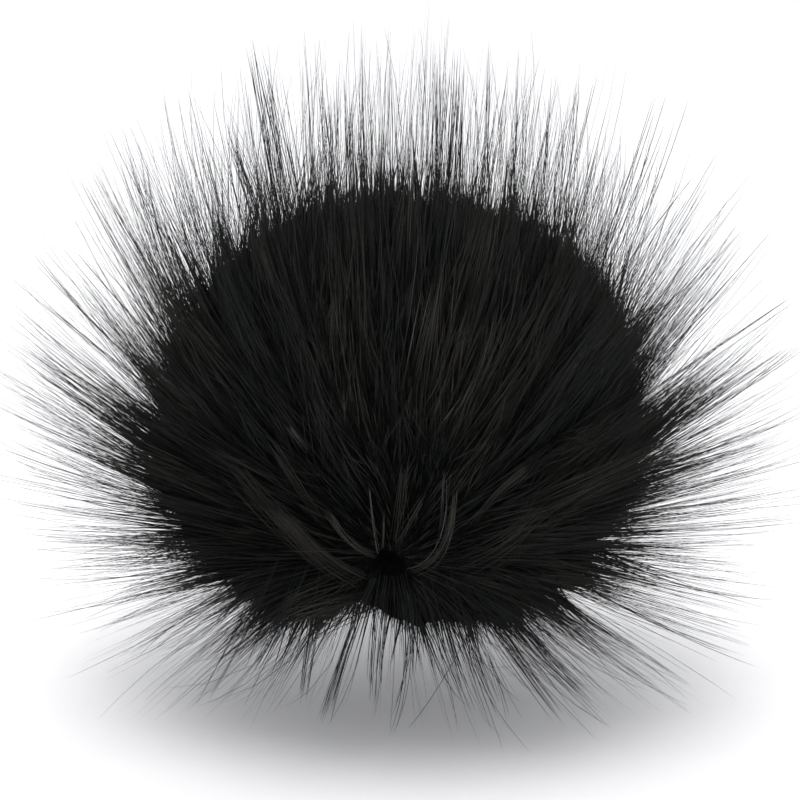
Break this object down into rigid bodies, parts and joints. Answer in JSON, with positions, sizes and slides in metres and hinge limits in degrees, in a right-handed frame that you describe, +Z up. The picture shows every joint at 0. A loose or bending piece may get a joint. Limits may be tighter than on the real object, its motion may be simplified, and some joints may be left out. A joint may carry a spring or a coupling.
{
  "type": "pom pom",
  "caption": "Round pom pom of long black faux fur, its pile combed away from a small drawn-in gather low on the front, resting on the tips of its shorter under-pile",
  "frame": {"origin": "on the table under the ball's centre, at the level foot of the lock that stands there", "axes": "+Z up, the gather looks to -Y and down, +X to the right as seen from the front"},
  "size_m": [0.157, 0.15, 0.135],
  "materials": {
    "black_fur": "long soft black pile with a faint sheen"
  },
  "bodies": {
    "root": {"fur_ball": "black_fur"}
  },
  "joints": []
}
